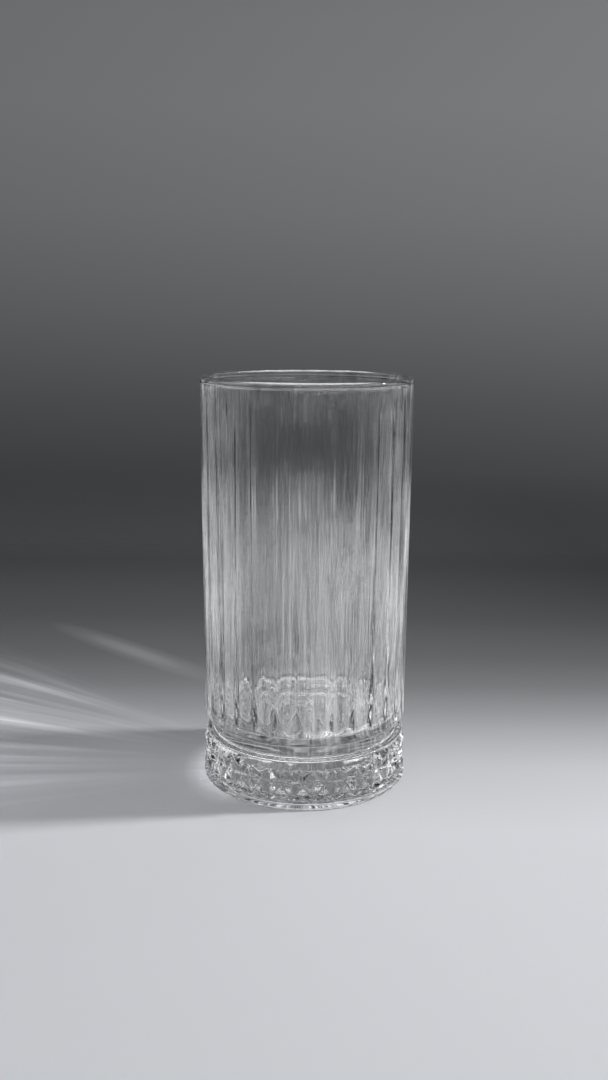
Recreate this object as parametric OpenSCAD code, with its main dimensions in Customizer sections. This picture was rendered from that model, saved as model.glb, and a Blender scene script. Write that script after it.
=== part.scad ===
// Pressed highball glass with upright ribs inside, a drawn-in waist and a diamond-cut foot.
// Millimetres, +Z up, with the origin on the axis at the plane that the glass stands on.
// The real glass is one pressing. Each module here is one zone of it, named after what
// forms it, and the zones meet face to face on level planes.

/* [Overall] */
// Height from the standing plane to the top of the lip
glass_h = 149.2; // [135:0.1:165]
// Radius at the mould seam under the lip
top_r = 38.1; // [35:0.1:41]
// How much narrower the body is at its bottom than at the seam
body_draft = 0.5; // [0.2:0.1:2]

/* [Rim] */
// Height of the fire-polished rim above the mould seam
rim_h = 2.2; // [1.6:0.1:6]
// Wall thickness at the rim
rim_wall = 2.45; // [2.25:0.05:4]
// Radius of the rounding on each side of the lip
lip_round_r = 1.1; // [0.4:0.05:1.1]

/* [Cavity] */
// Thickness of glass from the underside of the body to the inside floor
floor_t = 2.7; // [2:0.1:8]
// Wall thickness between the ribs at the bottom of the cavity
low_wall = 3; // [2.4:0.1:4.5]
// Radius of the rounded corner between the floor and the wall
floor_corner_r = 7.5; // [5:0.5:11]
// How far the floor sinks towards its middle
floor_sag = 0.6; // [0.1:0.1:1.5]
// How far the bowl runs up past that corner
bowl_rise = 2; // [1:0.1:2.5]

/* [Ribs] */
// Number of ribs round the cavity
ribs = 28; // [18:1:36]
// How far the ribs stand in from the wall over most of its height
rib_depth = 0.75; // [0.2:0.05:1.2]
// How far they stand in at the corner to the floor
rib_foot_depth = 1.7; // [0.8:0.05:2.5]
// Height above that corner through which they thin to their usual depth
rib_thin_h = 12; // [11:0.5:30]
// Share of the usual depth that is left where the ribs start to run out
rib_top_share = 0.4; // [0.1:0.05:1]
// Height under the mould seam through which the ribs run out
rib_fade_h = 15; // [5:0.5:30]

/* [Waist] */
// Height of the drawn-in waist between body and foot
waist_h = 4.6; // [3.8:0.1:8]
// How far the waist is drawn in from the body
waist_depth = 3; // [2.4:0.1:5]
// Radius of the rounding under the body
body_round_r = 1.8; // [0.8:0.1:2.2]
// Radius of the hollow where the waist turns out to the foot
waist_fillet_r = 1.6; // [0.5:0.1:1.8]

/* [Foot] */
// How far the foot stands out past the body at the standing plane
foot_step = 0.6; // [0:0.1:2]
// How much narrower the foot is at its top
foot_flare = 0.4; // [0.1:0.1:1]
// Radius of the rounding at the top edge of the foot
foot_round_r = 1; // [0.3:0.1:1.2]
// Radius of the rounding at the standing edge
heel_round_r = 0.9; // [0.3:0.1:1.5]
// Height of the plain heel under the diamonds
heel_h = 3.3; // [2.5:0.1:5]
// Height of the plain collar over the diamonds
collar_h = 2.3; // [1.9:0.1:4]

/* [Diamonds] */
// Number of diamonds round the foot
diamonds = 30; // [18:1:36]
// Height of the diamond band
band_h = 12.6; // [9:0.1:15]
// Depth of the valleys at the stars, where they cross
cut_depth = 0.8; // [0.3:0.05:1.2]
// Depth of the valleys at the upper and lower tips of the diamonds
tip_depth = 0.3; // [0:0.05:1]

/* [Punt] */
// Width of the flat ring that the glass stands on
ring_w = 3.2; // [2:0.1:6]
// Height of the hollow under the foot
punt_h = 1.5; // [1.2:0.1:2.2]
// Radius of the rounding inside the standing ring
punt_round_r = 1; // [0.4:0.1:1.1]

/* [Hidden] */

// How far a cutting body runs past the face that it opens
overrun = 1;
// Points across one rib, and points on a quarter of a rounding
rib_steps = 6;
round_steps = 8;
// Steps through which the ribs thin or run out, and steps of the corner below their ends
slope_steps = 4;
corner_steps = 4;
// Width of the floor's flat middle, as a share of the floor
middle_share = 0.3;
$fn = 180;

foot_h = heel_h + band_h + collar_h;
body_foot_z = foot_h + waist_h;
body_side_z = body_foot_z + body_round_r;
floor_z = body_foot_z + floor_t;
corner_z = floor_z + floor_corner_r;
wall_z = corner_z + bowl_rise;
seam_z = glass_h - rim_h;
fade_z = seam_z - rib_fade_h;
band_top_z = heel_h + band_h;
star_z = heel_h + band_h / 2;

body_r = top_r - body_draft;
waist_r = body_r - waist_depth;
foot_r = body_r + foot_step;
mouth_r = top_r - rim_wall;
cavity_r = body_r - low_wall;
floor_r = cavity_r - floor_corner_r;
ring_inner_r = foot_r - ring_w;

rib_pitch = 360 / ribs;
diamond_pitch = 360 / diamonds;
half_steps = rib_steps / 2;
// Turn of the floor corner, from the wall, at which the ribs' crests end on it
crest_turn = acos(1 - rib_foot_depth / floor_corner_r);

// Points of an arc about a centre, from one angle to another
function arc(centre, r, from, to, steps) =
    [for (i = [0:steps]) let (a = from + (to - from) * i / steps) centre + r * [cos(a), sin(a)]];

// Radius of the body's outside at a level
function outside_r(z) = body_r + body_draft * (z - body_side_z) / (seam_z - body_side_z);

// Radius of the inside at a level, between the ribs
function groove_r(z) = cavity_r + (mouth_r - cavity_r) * max(0, z - corner_z) / (seam_z - corner_z);

// How far the crests of the ribs stand in at a level
function crest_depth(z) =
    let (thin = max(0, 1 - max(0, z - corner_z) / rib_thin_h),
         rise = max(0, z - corner_z) / (seam_z - corner_z),
         fade = min(1, max(0, seam_z + overrun - z) / (rib_fade_h + overrun)))
    (rib_foot_depth - rib_depth) * thin * thin
        + rib_depth * (1 - (1 - rib_top_share) * rise) * fade * fade * (3 - 2 * fade);

// Share of the depth at a point across: 0 in a groove and 1 on the crests at -1 and 1
function swell_share(across) = pow(sin(90 * across), 2);

// Radius of the rounded corner to the floor at a level, and of the groove above it
function corner_r(z) =
    z < corner_z ? floor_r + sqrt(pow(floor_corner_r, 2) - pow(corner_z - z, 2)) : groove_r(z);

// Level at which a rib's surface ends on the corner, at a point across
function rib_end_z(across) =
    let (left = floor_corner_r - rib_foot_depth * swell_share(across))
    corner_z - sqrt(pow(floor_corner_r, 2) - pow(left, 2));

// One level ring of the ribbed inside
function rib_ring(z) =
    [for (i = [0:ribs - 1]) for (j = [0:rib_steps - 1])
        let (across = (j - half_steps) / half_steps,
             a = -90 + rib_pitch * (i + across / 2),
             r = min(corner_r(z), groove_r(z) - crest_depth(z) * swell_share(across)))
        [r * cos(a), r * sin(a), z]];

// One level ring of the floor, with as many points
function floor_ring(z, r) =
    [for (i = [0:ribs * rib_steps - 1])
        let (a = -90 + rib_pitch * (i - half_steps) / rib_steps)
        [r * cos(a), r * sin(a), z]];

// A closed body through level rings of as many points each, lowest first. Between two rings each
// cell is split along the diagonal that rises with the turn where rises(k, i) is true.
module ringed_body(rings, rises) {
    count = len(rings[0]);
    last = (len(rings) - 1) * count;
    sides = [for (k = [0:len(rings) - 2]) for (i = [0:count - 1])
        let (n = (i + 1) % count, low = k * count, high = low + count)
        each rises(k, i)
            ? [[low + i, high + i, high + n], [low + i, high + n, low + n]]
            : [[low + i, high + i, low + n], [low + n, high + i, high + n]]];
    bottom = [for (i = [0:count - 1]) i];
    top = [for (i = [count - 1:-1:0]) last + i];
    polyhedron([for (ring = rings) each ring], concat([bottom], sides, [top]), convexity = 4);
}

// The ribbed inside of the glass, from the sinking floor to past the mould seam. The rings below
// the wall lie where the ribs end on the corner, and the diagonals follow those ends.
module cavity() {
    corner_turns = [for (i = [0:corner_steps - 1])
        90 - (90 - crest_turn) * i / corner_steps];
    corner_levels = [for (turn = corner_turns) corner_z - floor_corner_r * sin(turn)];
    end_levels = [for (j = [half_steps:-1:0]) rib_end_z(j / half_steps)];
    thin_levels = [for (i = [1:slope_steps]) corner_z + rib_thin_h * i / slope_steps];
    fade_levels = [for (i = [0:slope_steps]) fade_z + (rib_fade_h + overrun) * i / slope_steps];
    ringed_body(
        concat(
            [floor_ring(floor_z - floor_sag, floor_r * middle_share)],
            [for (z = concat(corner_levels, end_levels, thin_levels, fade_levels)) rib_ring(z)]),
        function (k, i) i % rib_steps < half_steps);
}

// The mouth: the round inside of the rim, opening out over the lip
module mouth() {
    lip = [mouth_r + lip_round_r, glass_h - lip_round_r];
    rotate_extrude()
        polygon(concat(
            [[0, seam_z - overrun], [mouth_r, seam_z - overrun]],
            arc(lip, lip_round_r, 180, 90, round_steps),
            [[lip[0], glass_h + overrun], [0, glass_h + overrun]]));
}

// The hollow under the foot
module punt() {
    roof = [ring_inner_r - punt_round_r, punt_h - punt_round_r];
    rotate_extrude()
        polygon(concat(
            [[0, -overrun], [ring_inner_r, -overrun]],
            arc(roof, punt_round_r, 0, 90, round_steps),
            [[0, punt_h]]));
}

// Radius of the foot at a level
function foot_side_r(z) = foot_r - foot_flare * z / foot_h;

// A level ring of the diamond band: a point on each star's bearing, then one midway to the next
function diamond_ring(z, star_depth, mid_depth) =
    [for (i = [0:2 * diamonds - 1])
        let (a = -90 + diamond_pitch * i / 2, r = foot_side_r(z) - (i % 2 == 0 ? star_depth : mid_depth))
        [r * cos(a), r * sin(a), z]];

// The rounded lip above the mould seam
module rim() {
    lip = [top_r - lip_round_r, glass_h - lip_round_r];
    color("lightcyan", 0.6)
        difference() {
            rotate_extrude()
                polygon(concat([[0, seam_z], [top_r, seam_z]], arc(lip, lip_round_r, 0, 90, round_steps), [[0, glass_h]]));
            mouth();
        }
}

// The side wall of the cavity, smooth outside and ribbed inside
module fluted_wall() {
    color("aliceblue", 0.6)
        difference() {
            rotate_extrude()
                polygon([[0, wall_z], [outside_r(wall_z), wall_z], [top_r, seam_z], [0, seam_z]]);
            cavity();
        }
}

// The bottom of the body: the rounded underside, the inside floor and the ends of the ribs
module base_bowl() {
    side = [body_r - body_round_r, body_side_z];
    color("lightblue", 0.6)
        difference() {
            rotate_extrude()
                polygon(concat(
                    [[0, body_foot_z]],
                    arc(side, body_round_r, 270, 360, round_steps),
                    [[outside_r(wall_z), wall_z], [0, wall_z]]));
            cavity();
        }
}

// The drawn-in waist
module waist() {
    upper_fillet_r = waist_depth - body_round_r;
    low = [waist_r + waist_fillet_r, foot_h + waist_fillet_r];
    high = [waist_r + upper_fillet_r, body_foot_z - upper_fillet_r];
    color("powderblue", 0.6)
        rotate_extrude()
            polygon(concat(
                [[0, foot_h]],
                arc(low, waist_fillet_r, 270, 180, round_steps),
                arc(high, upper_fillet_r, 180, 90, round_steps),
                [[0, body_foot_z]]));
}

// The plain collar at the top of the foot
module foot_collar() {
    edge = [foot_side_r(foot_h) - foot_round_r, foot_h - foot_round_r];
    color("lightsteelblue", 0.6)
        rotate_extrude()
            polygon(concat(
                [[0, band_top_z], [foot_side_r(band_top_z), band_top_z]],
                arc(edge, foot_round_r, 0, 90, round_steps),
                [[0, foot_h]]));
}

// The band of diamond points. Valleys run from each star to the tips of the diamonds beside it,
// and the points stand out midway between two stars.
module diamond_band() {
    color("lightblue", 0.6)
        ringed_body(
            [diamond_ring(heel_h, 0, tip_depth),
             diamond_ring(star_z, cut_depth, 0),
             diamond_ring(band_top_z, 0, tip_depth)],
            function (k, i) (k + i) % 2 == 1);
}

// The plain heel, with the flat ring that the glass stands on
module standing_ring() {
    heel = [foot_r - heel_round_r, heel_round_r];
    color("azure", 0.6)
        difference() {
            rotate_extrude()
                polygon(concat(
                    [[0, 0]],
                    arc(heel, heel_round_r, 270, 360, round_steps),
                    [[foot_side_r(heel_h), heel_h], [0, heel_h]]));
            punt();
        }
}

rim();
fluted_wall();
base_bowl();
waist();
foot_collar();
diamond_band();
standing_ring();
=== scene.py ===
import math

import bpy
import numpy as np
from mathutils import Matrix, Vector


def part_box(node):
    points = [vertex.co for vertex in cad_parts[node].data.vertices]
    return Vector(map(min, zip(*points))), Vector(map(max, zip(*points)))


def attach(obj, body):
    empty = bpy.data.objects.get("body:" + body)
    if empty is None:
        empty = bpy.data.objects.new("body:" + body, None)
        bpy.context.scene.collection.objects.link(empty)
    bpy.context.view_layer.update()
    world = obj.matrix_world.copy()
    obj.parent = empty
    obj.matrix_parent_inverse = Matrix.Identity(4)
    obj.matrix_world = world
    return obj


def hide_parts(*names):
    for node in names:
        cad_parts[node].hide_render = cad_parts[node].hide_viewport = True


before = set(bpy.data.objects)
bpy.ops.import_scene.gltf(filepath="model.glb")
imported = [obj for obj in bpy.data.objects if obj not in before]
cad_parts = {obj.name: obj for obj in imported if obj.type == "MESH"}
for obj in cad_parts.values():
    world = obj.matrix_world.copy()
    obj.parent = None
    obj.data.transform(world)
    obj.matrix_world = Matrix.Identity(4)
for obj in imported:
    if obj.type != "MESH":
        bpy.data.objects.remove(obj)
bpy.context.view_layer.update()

# The highball glass: one seamless clear pressing on a pale table, in front of a dim backdrop.
# The shape of the glass is worked out in millimetres. All else is in metres.

MM = 0.001


def reach(node):
    """A node's lowest level, highest level and outer radius, in millimetres."""
    low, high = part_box(node)
    return low[2] / MM, high[2] / MM, max(high[0], high[1]) / MM


# Levels and radii that the frame gives
SEAM_Z, LIP_Z, TOP_R = reach("rim")
BODY_FOOT_Z = reach("base_bowl")[0]
FOOT_TOP_Z = reach("waist")[0]
BAND_Z, BAND_TOP_Z = reach("diamond_band")[:2]
FOOT_R = reach("standing_ring")[2]
FOOT_TOP_R = reach("foot_collar")[2]

# The body, its wall and its floor
BODY_DRAFT = 0.5
BODY_R = TOP_R - BODY_DRAFT
BODY_ROUND_R = 2.4
RIM_WALL = 2.45
LOW_WALL = 3.0
LIP_ROUND_R = 1.1
SEAM_DEPTH = 0.12
SEAM_HALF_H = 0.45
FLOOR_Z = 24.2
FLOOR_CORNER_R = 7.5
FLOOR_SAG = 0.6

# The ribs inside, and the fine line in each groove between them
RIBS = 28
RIB_DEPTH = 0.75
RIB_FOOT_DEPTH = 1.7
RIB_THIN_H = 12.0
RIB_TOP_SHARE = 0.4
RIB_FADE_H = 15.0
RIB_END_ROUND = 0.5
GROOVE_LINE_DEPTH = 0.3
GROOVE_LINE_SHARE = 0.3

# The waist and the foot
WAIST_R = 34.6
WAIST_FILLET_R = 1.0
SHOULDER_Z = 12.0
SHOULDER_IN = 1.1
FOOT_ROUND_R = 1.0
FOOT_ROUND_FROM_DEG = 10
HEEL_ROUND_R = 0.9

# The cuts round the foot. They run out above and below these heights from the band's middle.
DIAMONDS = 30
CUT_DEPTH = 1.2
CUT_HALF_W = 3.37
CUT_EDGE_ROUND = 0.04
CUT_END_H = 0.8
RUN_OUT_ABOVE = 1.4
RUN_OUT_ABOVE_SLOPE = 0.32
RUN_OUT_BELOW = 4.2
RUN_OUT_BELOW_SLOPE = 0.55

# The ring that the glass stands on, and the punt inside it
RING_W = 3.2
RING_EDGE_R = 0.5
PUNT_H = 1.5
PUNT_ROUND_R = 1.0

# How finely the mesh is divided. The corner to the floor has its finer rows above the split, where
# the ribs end.
COLUMNS = 840
ARC_STEP_DEG = 7.5
PUNT_ROWS = 8
BAND_ROWS = 48
SIDE_ROWS = 24
SEAM_ROWS = 9
RIB_FADE_ROWS = 8
WALL_ROWS = 16
RIB_FOOT_ROWS = 12
CORNER_SPLIT_DEG = 42
CORNER_ROWS = (36, 12)
FLOOR_ROWS = 10
SHARP_DEG = 30.0


def arc(centre_r, centre_z, radius, start_deg, end_deg):
    """Points (radius, level) of an arc in the glass's profile."""
    steps = max(2, round(abs(end_deg - start_deg) / ARC_STEP_DEG))
    angles = np.radians(np.linspace(start_deg, end_deg, steps + 1))
    return [(centre_r + radius * math.cos(a), centre_z + radius * math.sin(a)) for a in angles]


def smooth_max(a, b, width):
    """The larger of two values, with the corner between them rounded over a width."""
    return 0.5 * (a + b + np.sqrt((a - b) ** 2 + width**2))


def across_repeat(turn, repeats):
    """Place in one of so many repeats round the glass: 0 at the front and at each repeat, 1 midway."""
    return 2 * np.abs((turn * repeats + 0.5) % 1 - 0.5)


def foot_side_r(z):
    """Radius of the foot at a level."""
    shoulder = np.maximum(z - SHOULDER_Z, 0) / (FOOT_TOP_Z - SHOULDER_Z)
    return FOOT_R + (FOOT_TOP_R - FOOT_R) * z / FOOT_TOP_Z - SHOULDER_IN * shoulder**2


def groove_r(z):
    """Radius of the inside wall in the grooves between its ribs."""
    low, high = FLOOR_Z + FLOOR_CORNER_R, LIP_Z - LIP_ROUND_R
    share = np.clip((z - low) / (high - low), 0, 1)
    return (BODY_R - LOW_WALL) * (1 - share) + (TOP_R - RIM_WALL) * share


def rib_height(z, across):
    """How far the ribs inside stand in from the grooves; across is 0 in a groove and 1 on a rib."""
    corner_z = FLOOR_Z + FLOOR_CORNER_R
    up = np.maximum(z - corner_z, 0)
    thin = np.maximum(1 - up / RIB_THIN_H, 0)
    rise = up / (SEAM_Z - corner_z)
    fade = np.clip((SEAM_Z - z) / RIB_FADE_H, 0, 1)
    crest = (RIB_FOOT_DEPTH - RIB_DEPTH) * thin**2
    crest = crest + RIB_DEPTH * (1 - (1 - RIB_TOP_SHARE) * rise) * fade * fade * (3 - 2 * fade)
    line = GROOVE_LINE_DEPTH * fade * np.maximum(1 - across / GROOVE_LINE_SHARE, 0)
    return crest * np.sin(math.pi / 2 * across) ** 2 - line


def ribbed(z, turn, radius):
    """Radius of the inside: the ribs, as far in as the corner to the floor leaves them."""
    across = across_repeat(turn, RIBS)
    return -smooth_max(-radius, -(groove_r(z) - rib_height(z, across)), RIB_END_ROUND)


def cut_depth(z, across):
    """How deep the cuts of the foot lie below its surface; across is 0 at a star."""
    half_w = math.pi * FOOT_R / DIAMONDS
    half_h = (BAND_TOP_Z - BAND_Z) / 2
    slant = math.hypot(half_w, half_h)
    period = 2 * half_w * half_h / slant
    x = across * half_w
    up = z - (BAND_Z + BAND_TOP_Z) / 2
    depth = np.zeros_like(x)
    for side in (-1, 1):
        off = np.abs((x * half_h + side * up * half_w) / slant)
        near = np.abs((off + period / 2) % period - period / 2)
        depth = smooth_max(depth, CUT_DEPTH * (1 - near / CUT_HALF_W), CUT_EDGE_ROUND)
    depth = depth - RUN_OUT_ABOVE_SLOPE * np.maximum(up - RUN_OUT_ABOVE, 0)
    depth = depth - RUN_OUT_BELOW_SLOPE * np.maximum(-up - RUN_OUT_BELOW, 0)
    return np.maximum(depth, 0) * np.clip((half_h - np.abs(up)) / CUT_END_H, 0, 1)


def diamonds(z, turn, radius):
    """Radius of the foot with its cuts."""
    return radius - cut_depth(z, across_repeat(turn, DIAMONDS))


def plain(points):
    """Rows of the profile that nothing cuts into."""
    return [(r, z, None) for r, z in points]


def outside_rows():
    """Rows from the middle of the punt round the outside to the top of the lip.

    Each row is (radius, level, cut), where cut is the function that cuts into it, or None.
    """
    ring_inner_r = FOOT_R - RING_W
    roof_r = ring_inner_r - PUNT_ROUND_R
    rows = plain((r, PUNT_H) for r in np.linspace(0.0, roof_r, PUNT_ROWS)[1:-1])
    rows += plain(arc(roof_r, PUNT_H - PUNT_ROUND_R, PUNT_ROUND_R, 90, 0))
    rows += plain(arc(ring_inner_r + RING_EDGE_R, RING_EDGE_R, RING_EDGE_R, 180, 270))
    rows += plain(arc(FOOT_R - HEEL_ROUND_R, HEEL_ROUND_R, HEEL_ROUND_R, 270, 360))
    rows += [(foot_side_r(z), z, diamonds) for z in np.linspace(BAND_Z, BAND_TOP_Z, BAND_ROWS + 1)]
    edge_z = FOOT_TOP_Z - FOOT_ROUND_R
    edge_r = foot_side_r(edge_z) - FOOT_ROUND_R
    rows += plain(arc(edge_r, edge_z, FOOT_ROUND_R, FOOT_ROUND_FROM_DEG, 90))
    rows += plain(arc(WAIST_R + WAIST_FILLET_R, FOOT_TOP_Z + WAIST_FILLET_R, WAIST_FILLET_R, 270, 180))
    upper_r = BODY_R - BODY_ROUND_R - WAIST_R
    rows += plain(arc(WAIST_R + upper_r, BODY_FOOT_Z - upper_r, upper_r, 180, 90))
    side_z = BODY_FOOT_Z + BODY_ROUND_R
    rows += plain(arc(BODY_R - BODY_ROUND_R, side_z, BODY_ROUND_R, 270, 360)[1:])
    side_h = SEAM_Z - SEAM_HALF_H - side_z
    rows += plain((BODY_R + BODY_DRAFT * share, side_z + side_h * share)
                  for share in np.linspace(0, 1, SIDE_ROWS)[1:])
    rows += plain((TOP_R - SEAM_DEPTH * math.cos(math.pi / 2 * step) ** 2, SEAM_Z + SEAM_HALF_H * step)
                  for step in np.linspace(-1, 1, SEAM_ROWS)[1:])
    return rows + plain(arc(TOP_R - LIP_ROUND_R, LIP_Z - LIP_ROUND_R, LIP_ROUND_R, 0, 90))


def inside_rows():
    """Rows from the top of the lip down the inside to the middle of the floor."""
    mouth_r = TOP_R - RIM_WALL
    rows = plain(arc(mouth_r + LIP_ROUND_R, LIP_Z - LIP_ROUND_R, LIP_ROUND_R, 90, 180))
    corner_z = FLOOR_Z + FLOOR_CORNER_R
    rib_top_z = SEAM_Z - RIB_FADE_H
    thin_z = corner_z + RIB_THIN_H
    levels = [*np.linspace(SEAM_Z, rib_top_z, RIB_FADE_ROWS),
              *np.linspace(rib_top_z, thin_z, WALL_ROWS)[1:],
              *np.linspace(thin_z, corner_z, RIB_FOOT_ROWS)[1:-1]]
    rows += [(groove_r(z), z, ribbed) for z in levels]
    floor_r = BODY_R - LOW_WALL - FLOOR_CORNER_R
    turns = np.radians([*np.linspace(0, CORNER_SPLIT_DEG, CORNER_ROWS[0]),
                        *np.linspace(CORNER_SPLIT_DEG, 90, CORNER_ROWS[1])[1:]])
    rows += [(floor_r + FLOOR_CORNER_R * math.cos(a), corner_z - FLOOR_CORNER_R * math.sin(a), ribbed)
             for a in turns]
    return rows + plain((r, FLOOR_Z - FLOOR_SAG * (1 - (r / floor_r) ** 2))
                        for r in np.linspace(floor_r, 0.0, FLOOR_ROWS)[1:-1])


def glass_mesh():
    """The whole glass as one closed mesh: a ring of points for each row, and a point at each pole."""
    turn = np.arange(COLUMNS) / COLUMNS
    angle = -math.pi / 2 + 2 * math.pi * turn
    rows = outside_rows() + inside_rows()
    points = []
    for radius, level, cut in rows:
        z = np.full(COLUMNS, float(level))
        r = cut(z, turn, radius) if cut else np.full(COLUMNS, radius)
        points.append(np.column_stack([r * np.cos(angle), r * np.sin(angle), z]))
    poles = [[0, 0, PUNT_H], [0, 0, FLOOR_Z - FLOOR_SAG]]
    vertices = np.vstack(points + [poles]) * MM
    below, above = len(vertices) - 2, len(vertices) - 1
    last = (len(rows) - 1) * COLUMNS
    faces = []
    for row in range(len(rows) - 1):
        low, high = row * COLUMNS, (row + 1) * COLUMNS
        for i in range(COLUMNS):
            n = (i + 1) % COLUMNS
            faces.append((low + i, low + n, high + n, high + i))
    faces += [(below, (i + 1) % COLUMNS, i) for i in range(COLUMNS)]
    faces += [(above, last + i, last + (i + 1) % COLUMNS) for i in range(COLUMNS)]
    mesh = bpy.data.meshes.new("pressed_glass")
    mesh.from_pydata(vertices.tolist(), [], faces)
    mesh.validate()
    mesh.shade_smooth()
    mesh.set_sharp_from_angle(angle=math.radians(SHARP_DEG))
    return mesh


class Value:
    """A number in a node tree. Python's operators on it add the Math nodes."""

    def __init__(self, nodes, socket):
        self.nodes = nodes
        self.socket = socket

    def math(self, operation, *others):
        """The result of a Math node that starts from this number."""
        node = self.nodes.add("Math", {"operation": operation}, dict(enumerate([self, *others])))
        return Value(self.nodes, node.outputs[0])

    def __add__(self, other):
        return self.math("ADD", other)

    def __radd__(self, other):
        return self.math("ADD", other)

    def __sub__(self, other):
        return self.math("SUBTRACT", other)

    def __rsub__(self, other):
        return self.nodes.number(other).math("SUBTRACT", self)

    def __mul__(self, other):
        return self.math("MULTIPLY", other)

    def __rmul__(self, other):
        return self.math("MULTIPLY", other)

    def __truediv__(self, other):
        return self.math("DIVIDE", other)

    def __pow__(self, other):
        return self.math("POWER", other)

    def clamped(self):
        """The number, held between 0 and 1."""
        return self.math("MAXIMUM", 0.0).math("MINIMUM", 1.0)


class Nodes:
    """A node tree that is built by short calls."""

    def __init__(self, tree):
        self.tree = tree
        tree.nodes.clear()

    def add(self, kind, settings=None, inputs=None):
        """Adds a node: its settings are set first, then its sockets are set or linked."""
        node = self.tree.nodes.new("ShaderNode" + kind)
        for name, value in (settings or {}).items():
            if name == "stops":
                self.set_stops(node.color_ramp, value)
            else:
                setattr(node, name, value)
        for name, value in (inputs or {}).items():
            if isinstance(value, Value):
                value = value.socket
            if isinstance(value, bpy.types.NodeSocket):
                self.tree.links.new(value, node.inputs[name])
            else:
                node.inputs[name].default_value = value
        return node

    def set_stops(self, ramp, stops):
        """Sets the stops of a colour ramp, each a place and a grey or a colour."""
        while len(ramp.elements) < len(stops):
            ramp.elements.new(1.0)
        for element, (place, tone) in zip(ramp.elements, stops):
            element.position = place
            element.color = (*tone, 1.0) if isinstance(tone, tuple) else (tone, tone, tone, 1.0)

    def number(self, amount):
        """A plain number as a node, for what has to be on the left of an operator."""
        node = self.add("Value")
        node.outputs[0].default_value = amount
        return Value(self, node.outputs[0])

    def value(self, kind, output, settings=None, inputs=None):
        """One output of a new node."""
        return Value(self, self.add(kind, settings, inputs).outputs[output])

    def ramp(self, stops, along):
        """A tone that follows a value by stops."""
        return self.value("ValToRGB", "Color", {"stops": stops}, {"Fac": along})

    def noise(self, place, detail, fineness=1.0):
        """Smooth noise round 0.5 at a place."""
        return self.value("TexNoise", "Fac", None, {"Vector": place, "Scale": fineness, "Detail": detail})

    def blend(self, kind, share, first, second):
        """Two colours put together in one of the Mix node's ways, by a share."""
        return self.value("MixRGB", 0, {"blend_type": kind}, {"Fac": share, 1: first, 2: second})

    def ray(self, what):
        """What kind of ray it is, or how many times it has turned."""
        return self.value("LightPath", what)


def material(name):
    made = bpy.data.materials.new(name)
    made.use_nodes = True
    return made, Nodes(made.node_tree)


# The clear glass. The ripple of the pressing runs up the body, and the stops say by height in metres
# how strong it is: hardly any on the foot, on the ends of the ribs and on the lip. Polish is the
# least roughness, and haze is what the hazy spots can add to it.
GLASS_TINT = (0.997, 0.999, 1.0, 1.0)
GLASS_IOR = 1.52
RIPPLE_FINENESS = (330.0, 330.0, 3.5)
RIPPLE_DETAIL = 3.0
RIPPLE_DEPTH = 0.0007
RIPPLE_HEIGHTS = [(0.03, 0.05), (0.055, 1.0), (0.142, 1.0), (0.1465, 0.05)]
POLISH = 0.001
HAZE = 0.002
HAZE_FINENESS = 45.0
HAZE_DETAIL = 5.0


def clear_glass():
    """Fire-polished soda-lime glass: nearly colourless, with a faint pressing ripple and hazy spots."""
    made, nodes = material("clear_pressed_glass")
    place = nodes.add("TexCoord").outputs["Object"]
    stretched = nodes.add("VectorMath", {"operation": "MULTIPLY"}, {0: place, 1: RIPPLE_FINENESS})
    ripple = nodes.noise(stretched.outputs[0], RIPPLE_DETAIL)
    height = nodes.value("SeparateXYZ", "Z", None, {0: place})
    bump = nodes.add("Bump", None, {
        "Height": (ripple - 0.5) * nodes.ramp(RIPPLE_HEIGHTS, height),
        "Strength": 1.0,
        "Distance": RIPPLE_DEPTH,
    })
    glass = nodes.add("BsdfPrincipled", None, {
        "Base Color": GLASS_TINT,
        "Roughness": POLISH + HAZE * nodes.noise(place, HAZE_DETAIL, HAZE_FINENESS),
        "IOR": GLASS_IOR,
        "Transmission Weight": 1.0,
        "Normal": bump.outputs["Normal"],
    })
    nodes.add("OutputMaterial", None, {"Surface": glass.outputs[0]})
    return made


def make_glass():
    glass = bpy.data.objects.new("pressed_glass", glass_mesh())
    bpy.context.collection.objects.link(glass)
    glass.data.materials.append(clear_glass())
    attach(glass, "root")
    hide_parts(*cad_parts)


# The table. Its far part runs out into the backdrop by these stops over the table's depth.
TABLE_X = 1.4
TABLE_FRONT_Y = -1.2
TABLE_BACK_Y = 0.75
TABLE_EDGE = [(0.78, 1.0), (1.0, 0.0)]

# Red and blue of the room's faint blue, where green is 1
COOL_RED = 0.985
COOL_BLUE = 1.03

# Painted falloff of light on the table: its tone by depth, in metres from the axis, pale in front
# and dark behind. Then the painted shade on its far right: how much it takes away, and how fast it
# grows to the right and to the back.
PAINTED_FALLOFF_TONES = [(-1.2, 0.65), (-0.17, 0.65), (-0.05, 0.66), (0.0, 0.56), (0.03, 0.43), (0.06, 0.30),
               (0.09, 0.20), (0.13, 0.14), (0.20, 0.095), (0.34, 0.06), (0.75, 0.045)]
FAR_RIGHT_SHADE = 0.4
RIGHT_RISE = 5.0
FAR_RISE = 4.0

# Painted glow of the table as the glass shows it, in the middle and to the sides. The one goes over
# into the other by the distance aside, and what lies behind the glass starts at its axis.
PAINTED_MIDDLE_GLOW = [(-1.2, 0.1), (-0.6, 0.1), (-0.15, 0.5), (-0.05, 0.37), (0.03, 0.26), (0.09, 0.18),
               (0.13, 0.14), (0.22, 0.085), (0.4, 0.06), (0.75, 0.06)]
PAINTED_SIDE_GLOW = [(-1.2, 0.1), (-0.6, 0.1), (-0.15, 0.5), (-0.05, 0.6), (0.04, 0.6), (0.13, 0.6),
             (0.22, 0.5), (0.4, 0.45), (0.6, 0.4), (0.75, 0.4)]
ASIDE_STOPS = [(0.1, 0.0), (0.2, 1.0)]
BEHIND_STOPS = [(0.0, 0.0), (0.1, 1.0)]
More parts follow.
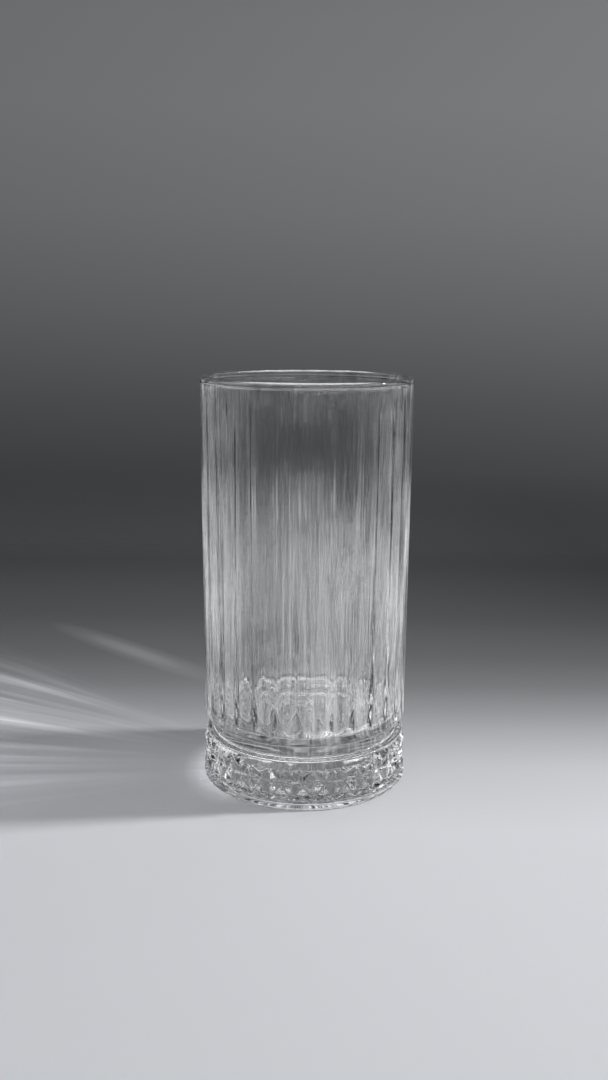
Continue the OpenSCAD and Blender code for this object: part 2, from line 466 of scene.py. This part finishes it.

# Painted pools of light on the table that the glass shows: middle, half width and half depth in
# metres, and brightness. Only rays that the glass turns back see the one in front.
PAINTED_SIDE_POOLS = [((0.27, -0.13), (0.30, 0.32), 1.2), ((-0.25, -0.05), (0.2, 0.2), 0.9)]
PAINTED_FRONT_POOL = ((0.09, -0.42), (0.38, 0.39), 1.3)
POOL_STOPS = [(0.1, 1.0), (0.4, 0.55), (1.0, 0.0)]

# The most that the table's painted glow shines straight through the glass. Then the painted
# reflection, how much brighter the outside of the glass mirrors the table: all of it, and on top of
# that its parts behind and to the sides.
MOST_THROUGH = 0.75
PAINTED_MIRROR_GAIN = 0.5
PAINTED_SIDE_MIRROR_GAIN = 0.8

# Streaks that run outwards in the room's light and in the table's painted glow round the glass:
# fine across and slow to change along
STREAK_FINENESS = 22.0
STREAK_ALONG = 3.0
STREAK_DETAIL = 2.0
STREAK_PEAK = 2.0
STREAK_STOPS = [(0.4, 0.04), (0.5, 0.4), (0.6, 1.1)]

# Painted light on the table, in place of the light that the glass throws: a fan of streaks to the
# left, a bright fold behind them, and a gleam at the foot. Places are in metres, and the fan's sides
# are sines of its bearings. The sharpness says how steeply the left goes over into the right, where
# no such light is painted.
LEFT_SHARPNESS = 4.0
PAINTED_THROWN_TINT = (0.97, 1.0, 1.04, 1.0)
FAN_PEAK = 0.5
FAN_FINENESS = 18.0
FAN_ALONG = 5.0
FAN_DETAIL = 3.0
FAN_STOPS = [(0.33, 0.0), (0.5, 0.3), (0.68, 1.0)]
FAN_SIDES = [(-0.46, 0.0), (-0.30, 0.2), (-0.2, 0.55), (0.0, 0.45), (0.22, 0.5), (0.3, 1.0),
             (0.5, 0.75), (0.68, 0.0)]
FAN_REACH = [(0.045, 0.0), (0.085, 0.22), (0.15, 0.9), (0.28, 0.6), (0.5, 0.0)]
FOLD_X = -0.09
FOLD_Y = 0.135
FOLD_TURN_DEG = 138.5
FOLD_LENGTH = 0.075
FOLD_WIDTH = 0.011
FOLD_PEAK = 0.085
FOLD_STOPS = [(0.0, 1.0), (0.3, 0.4), (1.0, 0.0)]
GLEAM_RADII = [(0.037, 1.0), (0.040, 0.5), (0.046, 0.0)]
GLEAM_PEAK = 0.35
GLEAM_EVEN_SHARE = 0.4
GLEAM_SHIFT = 0.75


def cool(tone):
    """A grey with the room's faint blue."""
    return (tone * COOL_RED, tone, tone * COOL_BLUE)


def cool_light(tone):
    """The same grey for a colour socket."""
    return (*cool(tone), 1.0)


def depth_stops(tones):
    """Stops of a ramp over the table's depth."""
    return [((y - TABLE_FRONT_Y) / (TABLE_BACK_Y - TABLE_FRONT_Y), cool(tone)) for y, tone in tones]


def radial_streaks(nodes, toward_x, toward_y, along):
    """Light and dark streaks that run outwards from the glass, in light and in painted glow."""
    place = nodes.add("CombineXYZ", None, {
        0: toward_x * STREAK_FINENESS, 1: toward_y * STREAK_FINENESS, 2: along * STREAK_ALONG})
    return nodes.ramp(STREAK_STOPS, nodes.noise(place.outputs[0], STREAK_DETAIL)) * STREAK_PEAK


def mirror_ray(nodes):
    """1 for a ray that the outside of the glass mirrors, and 0 for any that has been in the glass."""
    inside = nodes.ray("Transmission Depth").math("MINIMUM", 1.0)
    return nodes.ray("Is Glossy Ray") * (1 - inside)


def reflected_ray(nodes):
    """1 for a ray that a face of the glass has turned back at least once, and 0 for any other."""
    return nodes.ray("Glossy Depth").math("MINIMUM", 1.0)


def left_share(toward_x):
    """1 on the left of the glass, and 0 on the right."""
    return (0.5 - toward_x * LEFT_SHARPNESS).clamped()


def painted_thrown_light(nodes, x, y, out):
    """How bright the painted light is that stands in for what the glass throws on the table."""
    toward_x, toward_y = x / out, y / out
    place = nodes.add("CombineXYZ", None, {
        0: toward_x * FAN_FINENESS, 1: toward_y * FAN_FINENESS, 2: out * FAN_ALONG})
    noise = nodes.noise(place.outputs[0], FAN_DETAIL)
    bearings = [(0.5 + sine / 2, tone) for sine, tone in FAN_SIDES]
    fan = nodes.ramp(FAN_STOPS, noise) * nodes.ramp(bearings, toward_y * 0.5 + 0.5)
    fan = fan * nodes.ramp(FAN_REACH, out) * left_share(toward_x) * FAN_PEAK
    turn = math.radians(FOLD_TURN_DEG)
    aside, behind = x - FOLD_X, y - FOLD_Y
    along = (aside * math.cos(turn) + behind * math.sin(turn)) / FOLD_LENGTH
    across = (behind * math.cos(turn) - aside * math.sin(turn)) / FOLD_WIDTH
    fold = nodes.ramp(FOLD_STOPS, along * along + across * across) * FOLD_PEAK
    gleam = nodes.ramp(GLEAM_RADII, out) * left_share(toward_x + GLEAM_SHIFT)
    return fan + fold + gleam * (GLEAM_EVEN_SHARE + noise) * GLEAM_PEAK


def matt_table(nodes, x, y, share, out):
    """The table: pale and matt, with painted falloff of light, painted shade and painted thrown light."""
    # Painted falloff of light: pale in front and dark behind, with a painted shade on the far right
    tone = nodes.ramp(depth_stops(PAINTED_FALLOFF_TONES), share)
    far_right_painted_shade = (x * RIGHT_RISE).clamped() * (y * FAR_RISE).clamped()
    painted_falloff_and_shade = nodes.blend("MULTIPLY", 1.0, tone, 1 - far_right_painted_shade * FAR_RIGHT_SHADE)
    # Emission paints the light that the glass throws: painted caustic streaks, fold and gleam
    painted_thrown = nodes.blend("MIX", painted_thrown_light(nodes, x, y, out), (0.0, 0.0, 0.0, 1.0), PAINTED_THROWN_TINT)
    return nodes.add("BsdfPrincipled", None, {
        "Base Color": painted_falloff_and_shade,
        "Roughness": 1.0,
        "Specular IOR Level": 0.0,
        "Emission Color": painted_thrown,
        "Emission Strength": 1.0,
    })


def painted_pool_share(nodes, x, y, middle, half_size):
    """1 in the middle of a painted pool of light, and 0 from its edge on."""
    off = ((x - middle[0]) / half_size[0]) ** 2 + ((y - middle[1]) / half_size[1]) ** 2
    return nodes.ramp(POOL_STOPS, off)


def painted_glow_for_glass(nodes, x, y, share, out):
    """The table as the glass shows it: painted glow, with painted pools of light past the picture's
    frame.
    """
    middle = nodes.ramp(depth_stops(PAINTED_MIDDLE_GLOW), share)
    side = nodes.ramp(depth_stops(PAINTED_SIDE_GLOW), share)
    aside = nodes.ramp(ASIDE_STOPS, x.math("ABSOLUTE"))
    glow = nodes.blend("MIX", aside, middle, side)
    reflected = reflected_ray(nodes)
    # Painted pools of light, which only the glass sees
    for place, half_size, brightness in PAINTED_SIDE_POOLS:
        glow = nodes.blend("ADD", painted_pool_share(nodes, x, y, place, half_size), glow, cool_light(brightness))
    place, half_size, brightness = PAINTED_FRONT_POOL
    front = painted_pool_share(nodes, x, y, place, half_size) * reflected
    glow = nodes.blend("ADD", front, glow, cool_light(brightness))
    behind = nodes.ramp(BEHIND_STOPS, y)
    # Painted reflection: the table is brighter where the outside of the glass mirrors it
    painted_reflection_gain = 1 + mirror_ray(nodes) * (PAINTED_MIRROR_GAIN + PAINTED_SIDE_MIRROR_GAIN * aside * behind)
    # Painted light and dark streaks in the glow
    streaks = radial_streaks(nodes, x / out, y / out, out)
    glow = nodes.blend("MULTIPLY", 1.0, glow, streaks * painted_reflection_gain)
    glow = nodes.blend("DARKEN", 1 - reflected, glow, cool_light(MOST_THROUGH))
    return nodes.add("Emission", None, {"Color": glow, "Strength": 1.0})


def pale_table():
    """A pale matt table with painted falloff into the dim backdrop; the glass sees it as a painted glow.
    """
    made, nodes = material("pale_table")
    place = nodes.add("NewGeometry").outputs["Position"]
    split = nodes.add("SeparateXYZ", None, {0: place})
    x, y = [Value(nodes, split.outputs[axis]) for axis in "XY"]
    share = (y - TABLE_FRONT_Y) / (TABLE_BACK_Y - TABLE_FRONT_Y)
    out = (x * x + y * y) ** 0.5
    by_glass = nodes.ray("Is Glossy Ray").math("MAXIMUM", nodes.ray("Is Transmission Ray"))
    matt = matt_table(nodes, x, y, share, out)
    painted_glow = painted_glow_for_glass(nodes, x, y, share, out)
    # Rays from the glass see the painted glow, and all other rays the matt table
    lit = nodes.add("MixShader", None, {"Fac": by_glass, 1: matt.outputs[0], 2: painted_glow.outputs[0]})
    clear = nodes.add("BsdfTransparent")
    table = nodes.add("MixShader", None, {
        "Fac": nodes.ramp(TABLE_EDGE, share), 1: clear.outputs[0], 2: lit.outputs[0]})
    nodes.add("OutputMaterial", None, {"Surface": table.outputs[0]})
    return made


def make_table():
    mesh = bpy.data.meshes.new("table")
    corners = [(-TABLE_X, TABLE_FRONT_Y, 0.0), (TABLE_X, TABLE_FRONT_Y, 0.0),
               (TABLE_X, TABLE_BACK_Y, 0.0), (-TABLE_X, TABLE_BACK_Y, 0.0)]
    mesh.from_pydata(corners, [], [(0, 1, 2, 3)])
    table = bpy.data.objects.new("table", mesh)
    bpy.context.collection.objects.link(table)
    mesh.materials.append(pale_table())


# Brightness of the room by elevation in degrees: the backdrop, which a camera sees on all sides, and
# what the glass and the table get from the sides
BACKDROP = [(-90, 0.05), (-15, 0.046), (-11, 0.042), (-8, 0.053), (-5, 0.07), (0, 0.11), (5, 0.145),
            (10, 0.165), (14, 0.16), (18, 0.14), (33, 0.17), (42, 0.6), (60, 1.1), (75, 1.1), (90, 0.5)]
ROOM = [(-90, 0.1), (-12, 0.12), (-4, 0.55), (0, 0.85), (4, 0.65), (8, 0.45), (14, 0.6),
        (18, 1.1), (32, 1.1), (45, 0.85), (60, 1.0), (75, 1.0), (90, 0.5)]

# The backdrop's brightness in the middle and its rise to the right. Then the stops over the bearing
# by which the glass sees it start, and how much later that is for what its outside mirrors.
BACKDROP_MIDDLE = 1.08
BACKDROP_RISE = 0.5
BACKDROP_SIDES = [(0.85, 0.0), (0.94, 1.0)]
MIRROR_NARROWER = 0.05

# The soft light overhead that the outside of the glass mirrors, and the stops over the direction's
# rise by which it starts. Then the share of the room's light that falls on matt things.
OVERHEAD = (8.0, 8.1, 8.3, 1.0)
OVERHEAD_EDGE = [(0.7, 0.0), (0.85, 1.0)]
ROOM_SHARE = 0.5


def level_stops(tones):
    """Stops of a ramp over the sine of the elevation."""
    return [(0.5 + 0.5 * math.sin(math.radians(level)), cool(tone)) for level, tone in tones]


def make_world():
    """The room by direction: a dim graded backdrop behind the glass, pale to the sides and above."""
    world = bpy.data.worlds.new("room")
    world.use_nodes = True
    bpy.context.scene.world = world
    nodes = Nodes(world.node_tree)
    direction = nodes.add("TexCoord").outputs["Generated"]
    split = nodes.add("SeparateXYZ", None, {0: direction})
    up, ahead, right = [Value(nodes, split.outputs[axis]) for axis in "ZYX"]
    level = (ahead * ahead + right * right) ** 0.5
    height = up * 0.5 + 0.5
    backdrop = nodes.ramp(level_stops(BACKDROP), height)
    backdrop = nodes.blend("MULTIPLY", 1.0, backdrop, right / level * BACKDROP_RISE + BACKDROP_MIDDLE)
    streaks = radial_streaks(nodes, right / level, ahead / level, up)
    room = nodes.blend("MULTIPLY", 1.0, nodes.ramp(level_stops(ROOM), height), streaks)
    bearing = ahead / level * 0.5 + 0.5 - mirror_ray(nodes) * MIRROR_NARROWER
    to_back = nodes.ramp(BACKDROP_SIDES, bearing).math("MAXIMUM", nodes.ray("Is Camera Ray"))
    seen = nodes.blend("MIX", to_back, room, backdrop)
    overhead = nodes.ramp(OVERHEAD_EDGE, up) * mirror_ray(nodes)
    lit = nodes.blend("ADD", overhead, seen, OVERHEAD)
    on_matt = 1 - (1 - ROOM_SHARE) * nodes.ray("Is Diffuse Ray")
    back = nodes.add("Background", None, {
        "Color": nodes.blend("MULTIPLY", 1.0, lit, on_matt), "Strength": 1.0})
    nodes.add("OutputWorld", None, {"Surface": back.outputs[0]})


# The one lamp, a small soft square high on the right
LAMP_PLACE = (1.1, 0.12, 0.75)
LAMP_AIM = (0.0, 0.0, 0.03)
LAMP_SIZE = 0.12
LAMP_POWER = 14.5


def make_lamp():
    """The window's light, turned to the lower part of the glass."""
    lamp = bpy.data.lights.new("window", "AREA")
    lamp.shape = "SQUARE"
    lamp.size = LAMP_SIZE
    lamp.energy = LAMP_POWER
    holder = bpy.data.objects.new("window", lamp)
    bpy.context.collection.objects.link(holder)
    holder.location = LAMP_PLACE
    holder.rotation_mode = "QUATERNION"
    holder.rotation_quaternion = (Vector(LAMP_AIM) - Vector(LAMP_PLACE)).to_track_quat("-Z", "Y")


# The camera: where it stands, how it is turned, and its focal length in pixels of the picture
CAMERA_DISTANCE = 0.3772
CAMERA_HEIGHT = 0.1725
CAMERA_ASIDE = -0.00028
CAMERA_ROUND_DEG = 0.88
CAMERA_DOWN_DEG = 12.45
CAMERA_ROLL_DEG = 0.397
CAMERA_YAW_DEG = 0.06
FOCUS_PX = 1047.9
FRAME_H_PX = 1080
SENSOR = 36.0


def make_camera():
    """The photograph's view, from the perspective that fits its ellipses and outlines."""
    camera = bpy.data.objects.new("camera", bpy.data.cameras.new("camera"))
    bpy.context.collection.objects.link(camera)
    camera.data.sensor_width = SENSOR
    camera.data.lens = FOCUS_PX / FRAME_H_PX * SENSOR
    turn = Matrix.Rotation(math.radians(CAMERA_ROUND_DEG), 4, "Z")
    stand = Matrix.Translation((CAMERA_ASIDE, -CAMERA_DISTANCE, CAMERA_HEIGHT))
    look = Matrix.Rotation(math.radians(CAMERA_YAW_DEG), 4, "Z")
    tilt = Matrix.Rotation(math.radians(90 - CAMERA_DOWN_DEG), 4, "X")
    roll = Matrix.Rotation(math.radians(CAMERA_ROLL_DEG), 4, "Z")
    camera.matrix_world = turn @ stand @ look @ tilt @ roll
    bpy.context.scene.camera = camera


make_camera()
make_glass()
make_table()
make_world()
make_lamp()

bpy.context.scene.view_settings.view_transform = "Standard"
